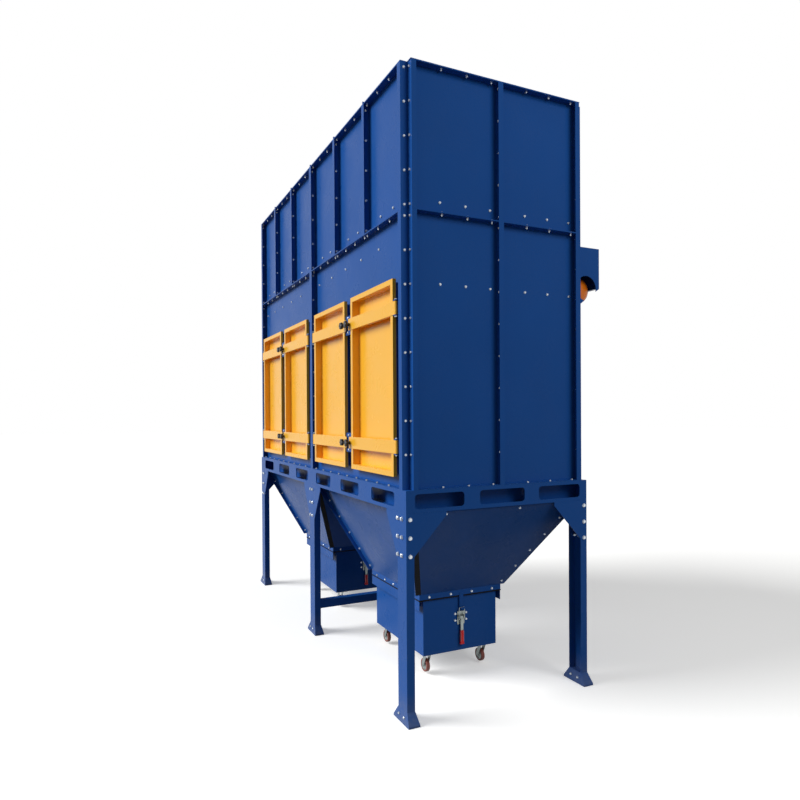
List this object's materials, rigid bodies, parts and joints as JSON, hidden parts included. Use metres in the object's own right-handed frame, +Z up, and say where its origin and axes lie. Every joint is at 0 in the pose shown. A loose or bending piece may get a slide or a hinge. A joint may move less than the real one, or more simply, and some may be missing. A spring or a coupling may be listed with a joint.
{
  "type": "cartridge dust collector",
  "caption": "Bolted sheet-steel cartridge dust collector on legs, with hinged access doors, sloping hoppers and wheeled dust bins clamped below by toggle latches.",
  "frame": {"origin": "on the floor, at the middle of the bounding box", "axes": "+Z up, -Y towards the side with the access doors, +X towards the near end"},
  "size_m": [3.022, 1.412, 3.354],
  "materials": {
    "blue_coat": "gloss blue powder coat on sheet steel",
    "yellow_coat": "gloss yellow powder coat on sheet steel",
    "orange_coat": "orange powder coat on steel pipe",
    "zinc": "bright zinc plating on pressed steel",
    "black_knob": "moulded black phenolic plastic",
    "castor_tread": "moulded brown polyurethane tread",
    "filter_media": "pleated spunbond polyester filter media"
  },
  "bodies": {
    "root": {"base_frame": "blue_coat", "middle_leg_frame": "blue_coat", "front_wall_upper": "blue_coat", "rear_wall_upper": "blue_coat", "rear_wall_lower": "blue_coat", "roof": "blue_coat", "air_header": "orange_coat", "header_cover": "blue_coat", "leg_front_near": "blue_coat", "leg_front_far": "blue_coat", "leg_rear_near": "blue_coat", "leg_rear_far": "blue_coat", "near_end_wall_upper": "blue_coat", "near_end_wall_lower": "blue_coat", "front_wall_lower_near": "blue_coat", "hopper_near": "blue_coat", "filter_bank_near": "filter_media", "dust_bin_near": "blue_coat", "far_end_wall_upper": "blue_coat", "far_end_wall_lower": "blue_coat", "front_wall_lower_far": "blue_coat", "hopper_far": "blue_coat", "filter_bank_far": "filter_media", "dust_bin_far": "blue_coat"},
    "access_door_1": {"access_door_1": "yellow_coat", "knob_1_lower": "black_knob", "knob_1_upper": "black_knob"},
    "access_door_2": {"access_door_2": "yellow_coat", "knob_2_lower": "black_knob", "knob_2_upper": "black_knob"},
    "access_door_3": {"access_door_3": "yellow_coat", "knob_3_lower": "black_knob", "knob_3_upper": "black_knob"},
    "access_door_4": {"access_door_4": "yellow_coat", "knob_4_lower": "black_knob", "knob_4_upper": "black_knob"},
    "castor_fork_near_1": {"castor_fork_near_1": "zinc"},
    "castor_wheel_near_1": {"castor_wheel_near_1": "castor_tread"},
    "castor_fork_near_2": {"castor_fork_near_2": "zinc"},
    "castor_wheel_near_2": {"castor_wheel_near_2": "castor_tread"},
    "castor_fork_near_3": {"castor_fork_near_3": "zinc"},
    "castor_wheel_near_3": {"castor_wheel_near_3": "castor_tread"},
    "castor_fork_near_4": {"castor_fork_near_4": "zinc"},
    "castor_wheel_near_4": {"castor_wheel_near_4": "castor_tread"},
    "latch_lever_near_outer": {"latch_lever_near_outer": "zinc"},
    "latch_loop_near_outer": {"latch_loop_near_outer": "zinc"},
    "latch_lever_near_inner": {"latch_lever_near_inner": "zinc"},
    "latch_loop_near_inner": {"latch_loop_near_inner": "zinc"},
    "castor_fork_far_1": {"castor_fork_far_1": "zinc"},
    "castor_wheel_far_1": {"castor_wheel_far_1": "castor_tread"},
    "castor_fork_far_2": {"castor_fork_far_2": "zinc"},
    "castor_wheel_far_2": {"castor_wheel_far_2": "castor_tread"},
    "castor_fork_far_3": {"castor_fork_far_3": "zinc"},
    "castor_wheel_far_3": {"castor_wheel_far_3": "castor_tread"},
    "castor_fork_far_4": {"castor_fork_far_4": "zinc"},
    "castor_wheel_far_4": {"castor_wheel_far_4": "castor_tread"},
    "latch_lever_far_inner": {"latch_lever_far_inner": "zinc"},
    "latch_loop_far_inner": {"latch_loop_far_inner": "zinc"},
    "latch_lever_far_outer": {"latch_lever_far_outer": "zinc"},
    "latch_loop_far_outer": {"latch_loop_far_outer": "zinc"}
  },
  "joints": [
    {"name": "access_door_1_hinge", "type": "hinge", "parent": "root", "child": "access_door_1", "pos_m": [1.374, -0.664, 1.748], "axis": [0, 0, 1], "range_deg": [0, 90]},
    {"name": "access_door_2_hinge", "type": "hinge", "parent": "root", "child": "access_door_2", "pos_m": [0.061, -0.664, 1.748], "axis": [0, 0, -1], "range_deg": [0, 90]},
    {"name": "access_door_3_hinge", "type": "hinge", "parent": "root", "child": "access_door_3", "pos_m": [-0.061, -0.664, 1.748], "axis": [0, 0, 1], "range_deg": [0, 90]},
    {"name": "access_door_4_hinge", "type": "hinge", "parent": "root", "child": "access_door_4", "pos_m": [-1.374, -0.664, 1.748], "axis": [0, 0, -1], "range_deg": [0, 90]},
    {"name": "castor_swivel_near_1", "type": "hinge", "parent": "root", "child": "castor_fork_near_1", "pos_m": [0.985, -0.274, 0.14], "axis": [0, 0, 1], "continuous": true},
    {"name": "castor_roll_near_1", "type": "hinge", "parent": "castor_fork_near_1", "child": "castor_wheel_near_1", "pos_m": [0.96, -0.274, 0.052], "axis": [0, 1, 0], "continuous": true},
    {"name": "castor_swivel_near_2", "type": "hinge", "parent": "root", "child": "castor_fork_near_2", "pos_m": [0.985, 0.116, 0.14], "axis": [0, 0, 1], "continuous": true},
    {"name": "castor_roll_near_2", "type": "hinge", "parent": "castor_fork_near_2", "child": "castor_wheel_near_2", "pos_m": [0.96, 0.116, 0.052], "axis": [0, 1, 0], "continuous": true},
    {"name": "castor_swivel_near_3", "type": "hinge", "parent": "root", "child": "castor_fork_near_3", "pos_m": [0.45, -0.274, 0.14], "axis": [0, 0, 1], "continuous": true},
    {"name": "castor_roll_near_3", "type": "hinge", "parent": "castor_fork_near_3", "child": "castor_wheel_near_3", "pos_m": [0.425, -0.274, 0.052], "axis": [0, 1, 0], "continuous": true},
    {"name": "castor_swivel_near_4", "type": "hinge", "parent": "root", "child": "castor_fork_near_4", "pos_m": [0.45, 0.116, 0.14], "axis": [0, 0, 1], "continuous": true},
    {"name": "castor_roll_near_4", "type": "hinge", "parent": "castor_fork_near_4", "child": "castor_wheel_near_4", "pos_m": [0.425, 0.116, 0.052], "axis": [0, 1, 0], "continuous": true},
    {"name": "latch_lever_near_outer_pivot", "type": "hinge", "parent": "root", "child": "latch_lever_near_outer", "pos_m": [1.059, -0.079, 0.345], "axis": [0, -1, 0], "range_deg": [0, 100]},
    {"name": "latch_loop_near_outer_pivot", "type": "hinge", "parent": "latch_lever_near_outer", "child": "latch_loop_near_outer", "pos_m": [1.061, -0.079, 0.327], "axis": [0, -1, 0], "range_deg": [-89, 0]},
    {"name": "latch_lever_near_inner_pivot", "type": "hinge", "parent": "root", "child": "latch_lever_near_inner", "pos_m": [0.376, -0.079, 0.345], "axis": [0, 1, 0], "range_deg": [0, 100]},
    {"name": "latch_loop_near_inner_pivot", "type": "hinge", "parent": "latch_lever_near_inner", "child": "latch_loop_near_inner", "pos_m": [0.374, -0.079, 0.327], "axis": [0, 1, 0], "range_deg": [-89, 0]},
    {"name": "castor_swivel_far_1", "type": "hinge", "parent": "root", "child": "castor_fork_far_1", "pos_m": [-0.45, -0.274, 0.14], "axis": [0, 0, 1], "continuous": true},
    {"name": "castor_roll_far_1", "type": "hinge", "parent": "castor_fork_far_1", "child": "castor_wheel_far_1", "pos_m": [-0.475, -0.274, 0.052], "axis": [0, 1, 0], "continuous": true},
    {"name": "castor_swivel_far_2", "type": "hinge", "parent": "root", "child": "castor_fork_far_2", "pos_m": [-0.45, 0.116, 0.14], "axis": [0, 0, 1], "continuous": true},
    {"name": "castor_roll_far_2", "type": "hinge", "parent": "castor_fork_far_2", "child": "castor_wheel_far_2", "pos_m": [-0.475, 0.116, 0.052], "axis": [0, 1, 0], "continuous": true},
    {"name": "castor_swivel_far_3", "type": "hinge", "parent": "root", "child": "castor_fork_far_3", "pos_m": [-0.985, -0.274, 0.14], "axis": [0, 0, 1], "continuous": true},
    {"name": "castor_roll_far_3", "type": "hinge", "parent": "castor_fork_far_3", "child": "castor_wheel_far_3", "pos_m": [-1.01, -0.274, 0.052], "axis": [0, 1, 0], "continuous": true},
    {"name": "castor_swivel_far_4", "type": "hinge", "parent": "root", "child": "castor_fork_far_4", "pos_m": [-0.985, 0.116, 0.14], "axis": [0, 0, 1], "continuous": true},
    {"name": "castor_roll_far_4", "type": "hinge", "parent": "castor_fork_far_4", "child": "castor_wheel_far_4", "pos_m": [-1.01, 0.116, 0.052], "axis": [0, 1, 0], "continuous": true},
    {"name": "latch_lever_far_inner_pivot", "type": "hinge", "parent": "root", "child": "latch_lever_far_inner", "pos_m": [-0.376, -0.079, 0.345], "axis": [0, -1, 0], "range_deg": [0, 100]},
    {"name": "latch_loop_far_inner_pivot", "type": "hinge", "parent": "latch_lever_far_inner", "child": "latch_loop_far_inner", "pos_m": [-0.374, -0.079, 0.327], "axis": [0, -1, 0], "range_deg": [-89, 0]},
    {"name": "latch_lever_far_outer_pivot", "type": "hinge", "parent": "root", "child": "latch_lever_far_outer", "pos_m": [-1.059, -0.079, 0.345], "axis": [0, 1, 0], "range_deg": [0, 100]},
    {"name": "latch_loop_far_outer_pivot", "type": "hinge", "parent": "latch_lever_far_outer", "child": "latch_loop_far_outer", "pos_m": [-1.061, -0.079, 0.327], "axis": [0, 1, 0], "range_deg": [-89, 0]}
  ],
  "couplings": [
    {"joint": "latch_loop_near_outer_pivot", "follows": "latch_lever_near_outer_pivot", "ratio": -0.888},
    {"joint": "latch_loop_near_inner_pivot", "follows": "latch_lever_near_inner_pivot", "ratio": -0.888},
    {"joint": "latch_loop_far_inner_pivot", "follows": "latch_lever_far_inner_pivot", "ratio": -0.888},
    {"joint": "latch_loop_far_outer_pivot", "follows": "latch_lever_far_outer_pivot", "ratio": -0.888}
  ]
}
